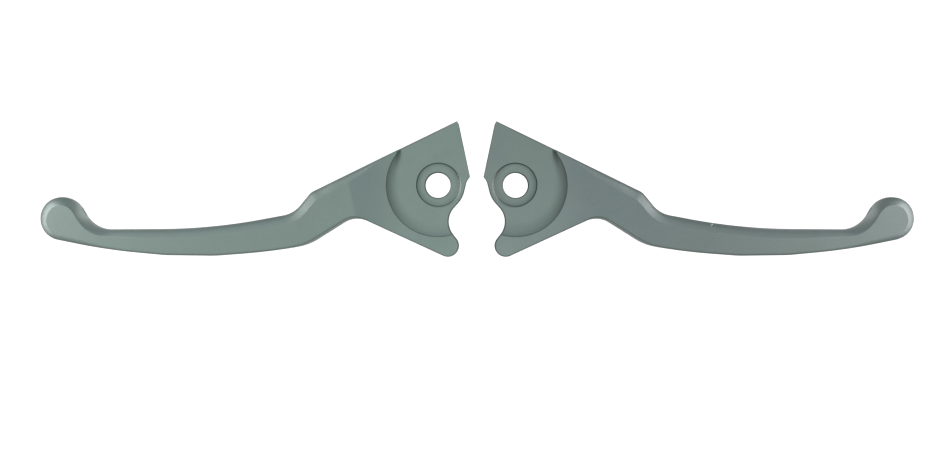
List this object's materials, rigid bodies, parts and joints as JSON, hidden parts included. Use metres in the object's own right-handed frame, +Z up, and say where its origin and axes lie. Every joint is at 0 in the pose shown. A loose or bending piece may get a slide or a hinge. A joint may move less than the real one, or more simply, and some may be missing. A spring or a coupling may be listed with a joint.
{
  "type": "brake lever pair",
  "caption": "Mirrored pair of satin aluminium brake lever blades, each with a disc tip, a cranked blade, a recessed pivot tongue with a plain bore, and a piston nose.",
  "frame": {"origin": "on the surface the levers lie on, below the centre of the pair's bounding box", "axes": "+X from the left-hand lever to the right-hand lever, +Y forward (away from the rider), +Z up along both pivot bores"},
  "size_m": [0.3488, 0.0542, 0.013],
  "materials": {
    "left_finish": "satin blasted and anodised, grey-green",
    "right_finish": "satin blasted and anodised, grey-green, a shade darker"
  },
  "bodies": {
    "left_lever": {"left_lever": "left_finish"},
    "right_lever": {"right_lever": "right_finish"}
  },
  "joints": [
    {"name": "right_pivot", "type": "hinge", "parent": "left_lever", "child": "right_lever", "pos_m": [0.01545, 0.00152, 0.0065], "axis": [0, 0, -1], "range_deg": [0, 20]}
  ]
}
